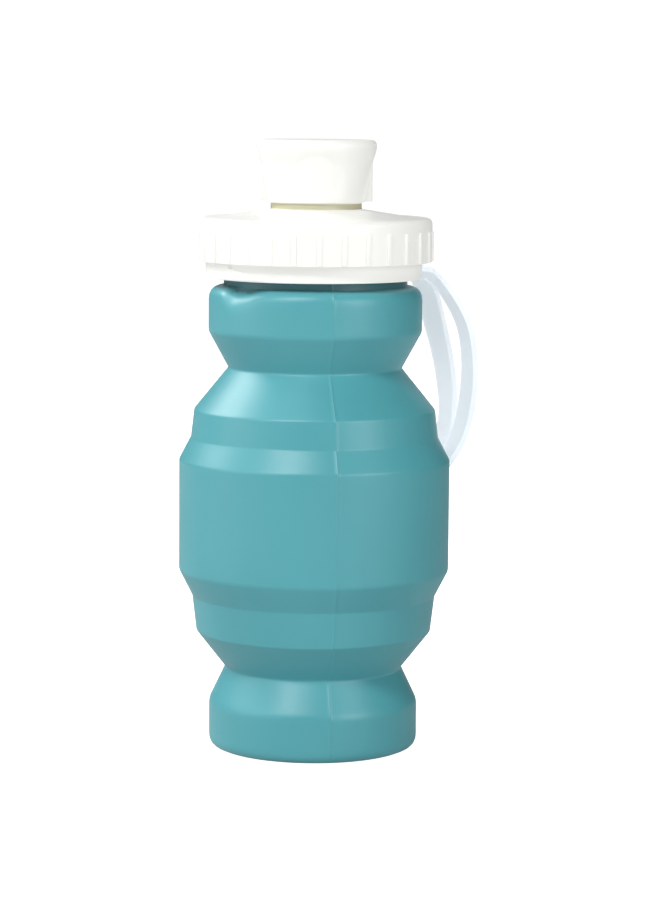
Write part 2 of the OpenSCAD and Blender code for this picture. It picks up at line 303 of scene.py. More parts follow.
def parting_line(piece):
    def on_line(edge):
        return all(any(apart(polar(v.co)[1], way) < 0.2 for way in LINE_AT) and polar(v.co)[0] > 20
                   for v in edge.verts) and all(
            outward(f.calc_center_median(), f.normal) > 0.25 for f in edge.link_faces)

    count = pick_edges(piece, on_line)
    bpy.ops.mesh.bevel(offset=LINE_HALF_WIDTH * MM, segments=2, affect="EDGES")
    bpy.ops.object.mode_set(mode="OBJECT")
    mesh = bmesh.new()
    mesh.from_mesh(piece.data)
    mesh.normal_update()
    for v in mesh.verts:
        r, way, z = polar(v.co)
        if any(apart(way, at) < 0.02 for at in LINE_AT) and outward(v.co, v.normal) > 0.3:
            v.co += v.normal * LINE_RISE * MM
    mesh.to_mesh(piece.data)
    mesh.free()
    return count


for piece in (base_skin, lower_skin, upper_skin, neck_skin):
    print(piece.name, "parting line of", parting_line(piece), "edges")

# %% [markdown]
# Soft silicone under a hard collar is never quite true. At the front left the shoulder is pushed in under
# the collar's stop. A smooth move of the points in a small patch gives that dent, deepest in its middle
# and nothing at its edge.

# %% Dent in the shoulder
DENT_WAY, DENT_Z, DENT_DEPTH = 220, 142.0, 1.6
DENT_LEFT, DENT_RIGHT, DENT_HALF_HEIGHT = 12, 25, 7.5
DENT_INWARD, DENT_DOWNWARD, DENT_FADE = 0.6, 0.9, 1.5
mesh = bmesh.new()
mesh.from_mesh(neck_skin.data)
for v in mesh.verts:
    r, way, z = polar(v.co)
    aside = (way - DENT_WAY + 180) % 360 - 180
    spread = math.hypot(aside / (DENT_RIGHT if aside > 0 else DENT_LEFT), (z - DENT_Z) / DENT_HALF_HEIGHT)
    if spread < 1 and z < shoulder_top_z + 0.1 and r > throat_r + 0.2:
        push = (0.5 + 0.5 * math.cos(math.pi * spread)) * DENT_DEPTH * min(1, (r - throat_r) / DENT_FADE)
        v.co -= Vector((v.co.x, v.co.y, 0)).normalized() * push * DENT_INWARD * MM
        v.co.z -= push * DENT_DOWNWARD * MM
mesh.to_mesh(neck_skin.data)
mesh.free()

# %% [markdown]
# Now the skins are final: each gets its values on the points and smooth shading, and its CAD sections are
# hidden.
# On the real bottle each web flips from one slope to the other between two levels. The real body has no
# edge at the four cuts and on the parting line, so a value on the points marks these places, and no edge
# tone, partly rubbing and partly painted highlight, is drawn there. A second value marks the throat's wall
# in the narrow gap under the collar, where the materials paint shade on it.

# %% Finish the skins
CUT_MARGIN, LINE_MARGIN = 1.6, 1.5
# the throat's wall, inside this distance and above this height, is painted with shade
THROAT_SHADE_R, THROAT_SHADE_FADE, THROAT_SHADE_LOW_Z = 31.2, 2.5, shoulder_top_z - 1.5


def mark_points(piece):
    """Writes two values on the points: one near a cut or parting line, where no edge tone is drawn, and one
    that paints shade on the throat's wall.
    """
    no_edge_tone = piece.data.attributes.new("no_edge_tone", "FLOAT", "POINT")
    for v, mark in zip(piece.data.vertices, no_edge_tone.data):
        r, way, z = polar(v.co)
        at_cut = min(abs(z - cut) for cut in (low_cut, mid_cut, up_cut)) < CUT_MARGIN
        mark.value = 1 if at_cut or any(apart(way, at) < LINE_MARGIN for at in LINE_AT) else 0
    # painted shade: this value darkens the throat's wall in the gap under the collar
    painted_throat_shade = piece.data.attributes.new("painted_throat_shade", "FLOAT", "POINT")
    for v, mark in zip(piece.data.vertices, painted_throat_shade.data):
        r, way, z = polar(v.co)
        mark.value = min(1, max(0, (THROAT_SHADE_R - r) / THROAT_SHADE_FADE)) if z > THROAT_SHADE_LOW_Z else 0


def fold(piece, lower, upper, from_z, to_z, *nodes):
    mark_points(piece)
    finish(piece, 40)
    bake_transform(piece)
    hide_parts(*nodes)


fold(base_skin, "base", "lower_ring", low_valley_z, low_ring_bottom_z,
     "base_cup", "lower_fold_web", "lower_ring")
fold(lower_skin, "lower_ring", "barrel", low_ring_top_z, barrel_bottom_z, "lower_shoulder_web", "barrel")
fold(upper_skin, "barrel", "upper_ring", barrel_top_z, up_ring_bottom_z, "upper_shoulder_web", "upper_ring")
fold(neck_skin, "upper_ring", "neck", up_ring_top_z, up_valley_z, "upper_fold_web", "neck_section")

# %% [markdown]
# ## Screw threads
# A thread is a ridge that climbs as it goes round. A small upright plate is spun one and a half turns.
# Then each station of the spin is lifted by its share of the pitch and made narrower at its crest. The
# ridge grows out of the wall at its start and sinks back at its end, as a moulded thread does. It is
# closed, and its root is sunk into the wall of the piece that it is joined to.

# %% Thread helper
PITCH, THREAD_TURNS, THREAD_STEPS = 4.0, 1.5, 60
THREAD_ROOT_W, THREAD_CREST_W, THREAD_SINK = 1.6, 0.8, 0.5
THREAD_RUN_IN = 8
LID_THREAD_Z, LID_THREAD_RISE = 152.6, 1.4
CAP_THREAD_Z, CAP_THREAD_RISE = 171.5, 1.1


def thread(piece, wall_r, crest_r, low_z, first):
    """Joins a helical ridge to a piece. It starts at height low_z (mm) in direction `first` (degrees)."""
    side = 1 if crest_r > wall_r else -1
    root_r = wall_r - side * THREAD_SINK
    clear()
    turn = math.radians(first)
    middle = (root_r + crest_r) / 2 * MM
    place = (middle * math.cos(turn), middle * math.sin(turn), low_z * MM)
    bpy.ops.mesh.primitive_plane_add(size=1, location=place, rotation=(math.pi / 2, 0, turn))
    ridge = bpy.context.object
    ridge.scale = (abs(crest_r - root_r) * MM, THREAD_ROOT_W * MM, 1)
    bpy.ops.object.transform_apply(location=True, rotation=True, scale=True)
    bpy.ops.object.mode_set(mode="EDIT")
    bpy.ops.mesh.select_all(action="SELECT")
    count = int(THREAD_TURNS * THREAD_STEPS)
    bpy.ops.mesh.spin(steps=count, angle=math.tau * THREAD_TURNS, center=(0, 0, 0), axis=(0, 0, -1))
    bpy.ops.object.mode_set(mode="OBJECT")
    for i, v in enumerate(ridge.data.vertices):
        station = i // 4
        grown = min(1, 0.1 + station / THREAD_RUN_IN, 0.1 + (count - station) / THREAD_RUN_IN)
        r, way, z = polar(v.co)
        if side * (r - root_r) > 0.1:
            kept = (root_r + (r - root_r) * grown) / r
            z = low_z + (z - low_z) * THREAD_CREST_W / THREAD_ROOT_W
        else:
            kept = 1
        v.co = (v.co.x * kept, v.co.y * kept, (z + PITCH * station / THREAD_STEPS) * MM)
    edit(ridge, "FACE")
    bpy.ops.mesh.select_all(action="SELECT")
    bpy.ops.mesh.normals_make_consistent(inside=False)
    clear()
    ridge.select_set(True)
    modifier(ridge, "BEVEL", width=0.15 * MM, segments=2, limit_method="ANGLE",
             angle_limit=math.radians(35))
    clear()
    ridge.select_set(True)
    piece.select_set(True)
    bpy.context.view_layer.objects.active = piece
    bpy.ops.object.join()


# %% [markdown]
# ## The collar
# A hard ring is moulded for the neck. Its lower part shows under the lid's skirt, and its upper part
# carries the thread. It is turned in steps of one degree. At the left its wall steps out into a stop for
# the lid, whose end runs down in a ramp: the points of one row are first lowered along that ramp, and
# then the faces under it are extruded outwards. The slot for the strap is the same idea inwards.

# %% Turn the collar
collar_r, collar_z, rim_z = 32.5, reach("neck_collar")[1], reach("neck_collar")[2]
collar_step_z, collar_root_r = 150.6, 31.0
stop_low_z, stop_high_z, ramp_z = 145.3, 149.5, 148.6
slot_low_z, slot_high_z = 146.0, 148.4
collar_line = soften([
    (throat_r, collar_z, 0.15), (collar_r, collar_z, 0.35), (collar_r, stop_low_z, 0),
    (collar_r, slot_low_z, 0), (collar_r, slot_high_z, 0), (collar_r, ramp_z, 0),
    (collar_r, stop_high_z, 0), (collar_r, collar_step_z, 0.3), (collar_root_r, collar_step_z, 0.3),
    (collar_root_r, rim_z, 0.4), (bead_r, rim_z, 0.4), (bead_r, bead_z, 0), (throat_r, bead_z, 0.1)],
    pieces=3)
collar = turned("collar", collar_line, 360)

# %% Stop with a ramp, and the strap's slot
STOP_FROM, STOP_TO, RAMP_TO, STOP_RISE = 150, 219, 243, 1.2
RAMP_END_Z, RAMP_SINK = stop_low_z + 1.2, 0.92
SLOT_WAY, SLOT_HALF, SLOT_DEPTH = 33, 13, 2.2


def ramp_share(way):
    """How far along the ramp a direction is: 0 at the stop's end, 1 at the foot of the ramp."""
    return min(1, max(0, (way - STOP_TO) / (RAMP_TO - STOP_TO)))


def ramp_top(way):
    """The ramp's height in a direction."""
    return ramp_z + (RAMP_END_Z - ramp_z) * ramp_share(way)


mesh = bmesh.new()
mesh.from_mesh(collar.data)
for v in mesh.verts:
    r, way, z = polar(v.co)
    in_ramp = STOP_TO - 0.5 < way < RAMP_TO + 0.5 and slot_low_z + 0.1 < z < stop_high_z - 0.1
    if in_ramp and r > collar_r - 0.05:
        share = (z - slot_low_z) / (ramp_z - slot_low_z)
        v.co.z = (slot_low_z + (ramp_top(way) - slot_low_z) * share) * MM
mesh.to_mesh(collar.data)
mesh.free()


def wall_of_stop(middle, normal):
    r, way, z = polar(middle)
    if outward(middle, normal) < 0.9 or r < collar_r - 0.3 or not stop_low_z < z < stop_high_z:
        return False
    under_ramp = STOP_TO < way < RAMP_TO and z < ramp_top(way)
    return STOP_FROM < way < STOP_TO or under_ramp


def wall_of_slot(middle, normal):
    r, way, z = polar(middle)
    return (outward(middle, normal) > 0.9 and r > collar_r - 0.3 and apart(way, SLOT_WAY) < SLOT_HALF
            and slot_low_z < z < slot_high_z)


def push_radially(distance, radius):
    """Extrudes the selected faces towards or away from the axis."""
    factor = (radius + distance) / radius
    bpy.ops.mesh.extrude_region_move()
    bpy.ops.transform.resize(value=(factor, factor, 1), center_override=(0, 0, 0))
    bpy.ops.object.mode_set(mode="OBJECT")


print("faces in the stop:", pick_faces(collar, wall_of_stop))
push_radially(STOP_RISE, collar_r)
# along the ramp the stop also sinks back into the wall, so that it ends without a step
for v in collar.data.vertices:
    r, way, z = polar(v.co)
    if r > collar_r + 0.3 and STOP_TO < way < RAMP_TO + 0.5:
        kept = (collar_r + STOP_RISE * (1 - RAMP_SINK * ramp_share(way))) / r
        v.co.x *= kept
        v.co.y *= kept
print("faces in the slot:", pick_faces(collar, wall_of_slot))
push_radially(-SLOT_DEPTH, collar_r)

# %% Thread on the collar
modifier(collar, "BEVEL", width=0.18 * MM, segments=2, limit_method="ANGLE", angle_limit=math.radians(50))
thread(collar, collar_root_r, collar_root_r + LID_THREAD_RISE, LID_THREAD_Z, 0)
finish(collar)
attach(collar, "neck")
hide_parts("neck_collar")

# %% [markdown]
# ## The insert in the throat
# A ring pressed into the throat holds the soft silicone against the collar. It is plain, so it only has a
# lead-in at its lower edge, a rounded lip, and a small groove round its flange where the mould parted.

# %% Turn the insert
insert_r = 24.0
_, insert_z, flange_z = reach("neck_insert")
groove_z, groove_half, groove_depth = throat_top_z + 1.0, 0.2, 0.25
insert = turned("throat_insert", soften([
    (insert_r, insert_z, 0.3), (throat_inner_r, insert_z, 0.6), (throat_inner_r, throat_top_z, 0),
    (bead_r, throat_top_z, 0.2), (bead_r, groove_z - groove_half, 0), (bead_r - groove_depth, groove_z, 0),
    (bead_r, groove_z + groove_half, 0), (bead_r, flange_z, 0.4), (insert_r, flange_z, 0.7)],
    pieces=4), 180)
finish(insert)
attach(insert, "neck")
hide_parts("neck_insert")

# %% [markdown]
# ## The lid
# The lid is a shallow screw cover with thirty narrow ribs for the hand, a low dome, a ring round the
# spout's foot, and the spout itself. The shell is turned with two rows of points where the ribs begin and
# end. Then the faces of each rib are extruded outwards together, and a bevel takes the sharpness off.
# Modelling one rib and copying it would leave thirty loose bars, while this way the ribs and the skirt
# are one skin.

# %% Turn the lid's shell
lid_r, lid_z, spout_top_z = reach("screw_lid")
rib_rise, rib_low_z, rib_top_z = 0.5, lid_z + 0.3, 159.4
lid_body_r, lid_inner_r, ceiling_z = lid_r - rib_rise, 32.9, reach("lid_gasket")[2]
spout_r, spout_bore_r, ring_r, ring_foot_z, ring_z = 12.0, 10.2, 13.9, 165.9, 167.8
skirt_top_z, dome_r, dome_z = 163.3, 28.0, 163.75
crown_r, crown_z, ceiling_edge_r = 12.4, 163.8, 27.4
lid_line = soften([
    (lid_inner_r, lid_z, 0.3), (lid_body_r, lid_z, 0.25), (lid_body_r, rib_low_z, 0),
    (lid_body_r, rib_top_z, 0), (lid_body_r, skirt_top_z, 1.9), (dome_r, dome_z, 1.2),
    (ring_r, ring_foot_z, 0.5), (ring_r, ring_z, 0.35), (spout_r, ring_z, 0.4), (spout_r, spout_top_z, 0.7),
    (spout_bore_r, spout_top_z, 0.5), (spout_bore_r, crown_z, 0.3), (crown_r, crown_z, 0.4),
    (ceiling_edge_r, ceiling_z, 0.4), (lid_inner_r, ceiling_z, 0.4)], pieces=6)
lid = turned("lid", lid_line, 360)

# %% Ribs round the skirt
RIBS, RIB_HALF, RIB_FIRST = 30, 1.0, 8.0


def on_rib(middle, normal):
    r, way, z = polar(middle)
    from_rib = apart((way - RIB_FIRST) * RIBS, 0) / RIBS
    return (from_rib < RIB_HALF and rib_low_z < z < rib_top_z and r > lid_body_r - 0.2
            and outward(middle, normal) > 0.9)


print("faces in the ribs:", pick_faces(lid, on_rib))
push_radially(rib_rise, lid_body_r)
modifier(lid, "BEVEL", width=0.2 * MM, segments=2, limit_method="ANGLE", angle_limit=math.radians(50))

# %% Both threads of the lid
thread(lid, lid_inner_r, lid_inner_r - LID_THREAD_RISE, LID_THREAD_Z, -180)
thread(lid, spout_r, spout_r + CAP_THREAD_RISE, CAP_THREAD_Z, 0)
finish(lid)
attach(lid, "lid")
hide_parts("screw_lid")

# %% [markdown]
# ## The gasket and the cap's liner
# A flat silicone ring seals the lid against the collar's rim. It has a round bead on its lower face that
# the rim squeezes. The liner under the cap is a disc with a groove that grips the end of the spout.

# %% Turn the gasket
gasket_out_r, gasket_z, gasket_top_z = reach("lid_gasket")
gasket_in_r = 28.4
seal_in_r, seal_out_r, seal_side, flat_z = 29.2, 31.0, 0.3, gasket_z + 0.35
gasket = turned("lid_gasket_ring", soften([
    (gasket_in_r, gasket_top_z, 0.25), (gasket_in_r, flat_z, 0.2), (seal_in_r, flat_z, 0.2),
    (seal_in_r + seal_side, gasket_z, 0.3), (seal_out_r - seal_side, gasket_z, 0.3),
    (seal_out_r, flat_z, 0.2), (gasket_out_r, flat_z, 0.2), (gasket_out_r, gasket_top_z, 0.25)],
    pieces=3), 180)
finish(gasket)
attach(gasket, "lid_seal")
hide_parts("lid_gasket")

# %% Turn the cap's liner
liner_r, liner_z, liner_top_z = reach("cap_seal")
hollow_r, hollow_z, lip_r, groove_roof_z = 8.6, liner_z + 0.6, 9.4, liner_z + 0.25
groove_in_r, groove_out_r, groove_side = 9.9, 12.1, 0.2
liner = turned("cap_liner", soften([
    (0, hollow_z, 0), (hollow_r, hollow_z, 0.4), (lip_r, liner_z, 0.4), (groove_in_r, liner_z, 0.2),
    (groove_in_r + groove_side, groove_roof_z, 0.1), (groove_out_r - groove_side, groove_roof_z, 0.1),
    (groove_out_r, liner_z, 0.2), (liner_r, liner_z, 0.3), (liner_r, liner_top_z, 0.3),
    (0, liner_top_z, 0)], closed=False, pieces=3), 120, closed=False)
finish(liner)
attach(liner, "cap_seal")
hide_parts("cap_seal")

# %% [markdown]
# ## The drinking cap
# The cap widens upwards in a cone and ends in a soft bead. At its left and right a thin fin stands out
# from the cone, straight up and down, for the fingers, and the front and back have a shallow dimple for
# the thumb. The shell is turned, and its side faces are extruded and their points set on one upright
# circle, which makes the fins. The dimples are a smooth move of points.

# %% Turn the cap's shell
cap_bead_r, cap_z, cap_top_z = reach("drinking_cap")
cap_foot_r, fin_r, fin_top_z, flare_z = 14.8, 17.1, 180.0, 182.3
cap_inner_r, cap_ceiling_z = 13.55, liner_top_z
cap_line = fine(soften([
    (0, cap_ceiling_z, 0), (cap_inner_r, cap_ceiling_z, 0.4), (cap_inner_r, cap_z, 0.25),
    (cap_foot_r, cap_z, 0.3), (fin_r, fin_top_z, 0.8), (cap_bead_r - 0.55, flare_z, 1.1),
    (cap_bead_r, cap_top_z - 2.6, 1.0), (cap_bead_r - 0.1, cap_top_z, 1.9), (0, cap_top_z, 0)],
    closed=False), 1.5, closed=False)
cap = turned("cap", cap_line, 360, closed=False)

# %% Fins at its sides
FIN_HALF = 2.6


def on_fin(middle, normal):
    r, way, z = polar(middle)
    return (outward(middle, normal) > 0.5 and cap_z + 0.3 < z < fin_top_z - 0.4 and r > cap_inner_r + 0.5
            and abs(middle.y) / MM < FIN_HALF)


print("faces in the fins:", pick_faces(cap, on_fin))
bpy.ops.mesh.extrude_region_move()
mesh = bmesh.from_edit_mesh(cap.data)
for v in [v for v in mesh.verts if v.select]:
    r = polar(v.co)[0]
    v.co.x *= fin_r / r
    v.co.y *= fin_r / r
bmesh.update_edit_mesh(cap.data)
bpy.ops.mesh.select_all(action="SELECT")
bpy.ops.mesh.remove_doubles(threshold=0.01 * MM)
bpy.ops.object.mode_set(mode="OBJECT")
modifier(cap, "BEVEL", width=0.22 * MM, segments=2, limit_method="ANGLE", angle_limit=math.radians(45))

# %% Thumb dimples
DIMPLE_R, DIMPLE_DEPTH, DIMPLE_Z, DIMPLE_FOOT_Z = 10.0, 0.6, 175.6, 169.0
DIMPLE_STEEP, DIMPLE_FOOT_FADE = 1.8, 3
mesh = bmesh.new()
mesh.from_mesh(cap.data)
mesh.normal_update()
for v in mesh.verts:
    x, z = v.co.x / MM, v.co.z / MM
    if abs(v.co.y) / MM > 8 and outward(v.co, v.normal) > 0.5:
        spread = math.hypot(x, max(0, z - DIMPLE_Z)) / DIMPLE_R
        if spread < 1:
            share = min(1, (1 - spread ** 2) * DIMPLE_STEEP) ** 2
            share *= min(1, max(0, z - DIMPLE_FOOT_Z) / DIMPLE_FOOT_FADE)
            v.co.y -= math.copysign(1, v.co.y) * DIMPLE_DEPTH * share * MM
mesh.to_mesh(cap.data)
mesh.free()

# %% Thread in the cap
thread(cap, cap_inner_r, cap_inner_r - CAP_THREAD_RISE, CAP_THREAD_Z, -180)
finish(cap)
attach(cap, "cap")
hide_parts("drinking_cap")

# %% [markdown]
# ## The strap
# The strap is one flat silicone moulding: a broad root in the collar's slot, and two legs that curve out
# and down behind the neck and meet in a round end. A curve with a flat bevel twists where it likes, so
# the band is built section by section instead. The root is cut into three strips, the outer two are the
# legs' starts, the legs are extruded along a route, and at the end the two bands are bridged. A bevel and
# a subdivision make the soft moulded edges.

# %% The strap's route
STRAP_WAY = math.radians(33)
STRAP_W_TOP, STRAP_W_LOW, STRAP_T = 8.4, 10.4, 1.9
HINGE_Z = 147.2
ROOT_START, ROOT_END, ROOT_HALF, NOTCH_HALF = 30.6, 40.6, 7.1, 0.6
DROOP_START, DROOP = 36.0, 0.13
ROOT_END_Z = HINGE_Z - DROOP * (ROOT_END - DROOP_START) ** 2
ROOT_CUTS = (33.0, 35.4, 36.4, 37.2, 38.0, 38.8, 39.6)
ROOT_WIDENING, ROOT_WIDEST, ROOT_LEG = 0.3, 1.2, 4.4
# the legs look to one side at the top and to another below, in degrees, and splay apart at the top
LEGS_WAY_TOP, LEGS_WAY_LOW, SPLAY_TOP = 36, 19, 12
# distance out, height, and half the distance between the legs' middles
ROUTE = [(43.4, 142.2, 4.6), (46.0, 138.2, 5.6), (48.7, 133.2, 7.1), (50.9, 127.4, 8.1), (52.6, 120.8, 8.2),
         (53.6, 114.0, 8.1), (53.9, 107.2, 7.7), (53.5, 100.6, 7.2), (52.1, 95.0, 6.6), (49.8, 90.6, 6.0)]
LOOP_TIP = (45.6, 84.6)
OUT = Vector((math.cos(STRAP_WAY), math.sin(STRAP_WAY), 0))
ACROSS = Vector((-OUT.y, OUT.x, 0))
UP = Vector((0, 0, 1))


def at_height(z, top, bottom):
    """A value that is `top` from 130 mm up and `bottom` from 100 mm down."""
    return bottom + (top - bottom) * min(1, max(0, (z - 100) / 30))


def band_width(z):
    """The band is wider in the round end than at its root."""
    return STRAP_W_LOW + (STRAP_W_TOP - STRAP_W_LOW) * min(1, max(0, (z - 107) / 15))


def sideways(z):
    """The direction from the front leg to the rear leg at a height."""
    way = math.radians(at_height(z, LEGS_WAY_TOP, LEGS_WAY_LOW))
    return Vector((-math.sin(way), math.cos(way), 0))


def leg(side):
    """Stations of one leg, from the top down: the middle, and the direction that its flat side looks to."""
    stations = []
    for i, (out, z, gap) in enumerate(ROUTE):
        a, b = ROUTE[max(0, i - 1)], ROUTE[min(len(ROUTE) - 1, i + 1)]
        slope = math.atan2(b[0] - a[0], a[1] - b[1])
        way = math.radians(at_height(z, LEGS_WAY_TOP, LEGS_WAY_LOW) + side * at_height(z, SPLAY_TOP, 0))
        flat = Vector((math.cos(way) * math.cos(slope), math.sin(way) * math.cos(slope), math.sin(slope)))
        stations.append((OUT * out + UP * z + sideways(z) * side * gap, flat))
    return stations


def loop_end(count=7):
    """Stations of the round end, from the front leg to the rear leg."""
    out, z, gap = ROUTE[-1]
    flat = leg(1)[-1][1]
    made = []
    for i in range(1, count + 1):
        turn = math.pi * i / (count + 1)
        middle = OUT * (out + (LOOP_TIP[0] - out) * math.sin(turn))
        middle += UP * (z + (LOOP_TIP[1] - z) * math.sin(turn)) - sideways(0) * gap * math.cos(turn)
        made.append((middle, flat))
    return made


band = leg(-1) + loop_end() + leg(1)[::-1]
length = sum((band[i + 1][0] - band[i][0]).length for i in range(len(band) - 1))
print(f"the band round the loop is {length:.0f} mm long, in {len(band)} sections")

# %% The root, cut into strips
clear()
root_middle = (OUT * (ROOT_START + ROOT_END) / 2 + UP * HINGE_Z) * MM
bpy.ops.mesh.primitive_cube_add(size=1, rotation=(0, 0, STRAP_WAY), location=root_middle)
strap = bpy.context.object
strap.name = strap.data.name = "strap"
strap.scale = ((ROOT_END - ROOT_START) * MM, 2 * ROOT_HALF * MM, STRAP_T * MM)
bpy.ops.object.transform_apply(location=True, rotation=True, scale=True)
edit(strap, "FACE")
for offset in (-NOTCH_HALF, NOTCH_HALF):
    bpy.ops.mesh.select_all(action="SELECT")
    bpy.ops.mesh.bisect(plane_co=ACROSS * offset * MM, plane_no=ACROSS)
for out in ROOT_CUTS:
    bpy.ops.mesh.select_all(action="SELECT")
    bpy.ops.mesh.bisect(plane_co=OUT * out * MM, plane_no=OUT)
bpy.ops.object.mode_set(mode="OBJECT")
# past the slot the root droops towards the legs and grows a little wider
for v in strap.data.vertices:
    out, side = v.co.dot(OUT) / MM, v.co.dot(ACROSS) / MM
    past = max(0, out - DROOP_START)
    v.co.z -= DROOP * past ** 2 * MM
    if abs(side) > 1:
        v.co += ACROSS * math.copysign(min(ROOT_WIDEST, ROOT_WIDENING * past), side) * MM
print("root of", len(strap.data.polygons), "faces")


# %% Extrude the legs and close the loop
def place_section(station, behind, ahead, last_width, last_thick):
    """Sets the four selected points square to the route, and returns the section's own two directions."""
    middle, flat = station
    along = (ahead - behind).normalized()
    width = flat.cross(along).normalized()
    thick = along.cross(width).normalized()
    mesh = bmesh.from_edit_mesh(strap.data)
    corners = [v for v in mesh.verts if v.select]
    centre = sum((v.co for v in corners), Vector()) / 4
    for v in corners:
        # each corner keeps its own quarter of the section
        a = 1 if (v.co - centre).dot(last_width) > 0 else -1
        b = 1 if (v.co - centre).dot(last_thick) > 0 else -1
        v.co = (middle + width * a * band_width(middle.z) / 2 + thick * b * STRAP_T / 2) * MM
    bmesh.update_edit_mesh(strap.data)
    return width, thick


def root_strip(middle, normal):
    """The end face of the root's front strip."""
    return normal.dot(OUT) > 0.95 and middle.dot(ACROSS) / MM < -NOTCH_HALF


root_end = OUT * ROOT_END + UP * ROOT_END_Z
middles = [middle for middle, flat in band]
middles = [root_end - ACROSS * ROOT_LEG] + middles + [root_end + ACROSS * ROOT_LEG]
first_width = band[0][1].cross(middles[2] - middles[0])
directions = (ACROSS * math.copysign(1, first_width.dot(ACROSS)), UP)
pick_faces(strap, root_strip)
for station, behind, ahead in zip(band, middles, middles[2:]):
    bpy.ops.mesh.extrude_region_move()
    directions = place_section(station, behind, ahead, *directions)
edit(strap, "FACE")
mesh = bmesh.from_edit_mesh(strap.data)
tip = min(mesh.faces, key=lambda f: (f.calc_center_median() - middles[-2] * MM).length)
start = min((f for f in mesh.faces if f.normal.dot(OUT) > 0.95),
            key=lambda f: (f.calc_center_median() - middles[-1] * MM).length)
tip.select_set(True)
start.select_set(True)
bmesh.update_edit_mesh(strap.data)
bpy.ops.mesh.bridge_edge_loops()
bpy.ops.mesh.select_all(action="SELECT")
bpy.ops.mesh.normals_make_consistent(inside=False)
bpy.ops.object.mode_set(mode="OBJECT")
modifier(strap, "BEVEL", width=0.7 * MM, segments=2, limit_method="ANGLE", angle_limit=math.radians(50))
modifier(strap, "SUBSURF", levels=2, render_levels=2)
finish(strap, 60)
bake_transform(strap)
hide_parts("strap_tab", "strap_loop")

# %% [markdown]
# ## Materials
# Three effects are used by more than one material, so each is a node group that is built once: a fine grain
# for moulded surfaces, a slow drift of tone, and a mask of convex edges, partly rubbing and partly painted
# highlight. The groups give out only values that vary over the surface, and the shader stays in the
# material.

# %% Group helpers
def new_group(name, inputs, outputs):
    group = bpy.data.node_groups.new(name, "ShaderNodeTree")
    for label, value in inputs:
        socket = group.interface.new_socket(label, in_out="INPUT", socket_type="NodeSocketFloat")
        socket.default_value = value
    for label in outputs:
        group.interface.new_socket(label, in_out="OUTPUT", socket_type="NodeSocketFloat")
    return group, group.nodes.new("NodeGroupInput"), group.nodes.new("NodeGroupOutput")


def node(tree, kind, links=None, **settings):
    """Adds a node, sets its properties and unlinked inputs, and links the rest."""
    made = tree.nodes.new(kind)
    for key, value in settings.items():
        setattr(made, key, value)
    for key, value in (links or {}).items():
        if isinstance(value, bpy.types.NodeSocket):
            tree.links.new(value, made.inputs[key])
        else:
            made.inputs[key].default_value = value
    return made


# %% Grain of a moulded surface
grain, gi, go = new_group(
    "moulded_grain", [("Fine Scale", 2600.0), ("Broad Scale", 420.0), ("Broad Share", 0.35)],
    ["Height", "Mask"])
place = node(grain, "ShaderNodeTexCoord")
fine_noise = node(grain, "ShaderNodeTexNoise", {
    "Vector": place.outputs["Object"], "Scale": gi.outputs["Fine Scale"], "Detail": 3.0, "Roughness": 0.6})
broad_noise = node(grain, "ShaderNodeTexNoise", {
    "Vector": place.outputs["Object"], "Scale": gi.outputs["Broad Scale"], "Detail": 4.0,
    "Roughness": 0.55})
both = node(grain, "ShaderNodeMix", {
    0: gi.outputs["Broad Share"], 2: fine_noise.outputs["Fac"], 3: broad_noise.outputs["Fac"]})
grain.links.new(both.outputs[0], go.inputs["Height"])
spots = node(grain, "ShaderNodeMapRange", {
    "Value": fine_noise.outputs["Fac"], "From Min": 0.62, "From Max": 0.75})
grain.links.new(spots.outputs["Result"], go.inputs["Mask"])

# %% Slow drift of tone
drift, di, do = new_group("tone_drift", [("Scale", 28.0), ("Contrast", 1.0)], ["Value"])
place = node(drift, "ShaderNodeTexCoord")
clouds = node(drift, "ShaderNodeTexNoise", {
    "Vector": place.outputs["Object"], "Scale": di.outputs["Scale"], "Detail": 3.0, "Roughness": 0.5,
    "Distortion": 0.4})
centred = node(drift, "ShaderNodeMath", {0: clouds.outputs["Fac"], 1: 0.5}, operation="SUBTRACT")
scaled = node(drift, "ShaderNodeMath", {0: centred.outputs[0], 1: di.outputs["Contrast"]},
              operation="MULTIPLY")
shifted = node(drift, "ShaderNodeMath", {0: scaled.outputs[0], 1: 0.5}, operation="ADD", use_clamp=True)
drift.links.new(shifted.outputs[0], do.inputs["Value"])

# %% Convex edges: rubbing and painted highlight
edge_group, ri, ro = new_group("edge_wear_and_highlight", [("Start", 0.52), ("Full", 0.62)], ["Mask"])
shape = node(edge_group, "ShaderNodeNewGeometry")
place = node(edge_group, "ShaderNodeTexCoord")
patches = node(edge_group, "ShaderNodeTexNoise", {
    "Vector": place.outputs["Object"], "Scale": 160.0, "Detail": 2.0})
edges = node(edge_group, "ShaderNodeMapRange", {
    "Value": shape.outputs["Pointiness"], "From Min": ri.outputs["Start"], "From Max": ri.outputs["Full"]})
broken = node(edge_group, "ShaderNodeMath", {0: edges.outputs["Result"], 1: patches.outputs["Fac"]},
              operation="MULTIPLY")
edge_group.links.new(broken.outputs[0], ro.inputs["Mask"])
print("node groups:", [group.name for group in bpy.data.node_groups])


# %% [markdown]
# Every material here is built the same way: a deep and a light tone mixed by the drift, a third tone
# at convex edges and at tiny specks, a roughness that varies a little, and a bump from the grain. The edge
# tone is partly rubbing and partly a painted highlight, and on the strap a painted shade. The two values on
# the silicone's points keep the edge tone off the cuts and paint shade on the throat, and a piece without
# them reads nought. What makes silicone, plastic and milky rubber differ are the numbers, and how light
# goes through them.

# %% Material helper
DRIFT_SCALE = 28.0
# how much painted shade the throat gets, and how dark it is as a share of the deep tone
THROAT_SHADE_SHARE, THROAT_SHADE_TONE = 0.72, 0.22


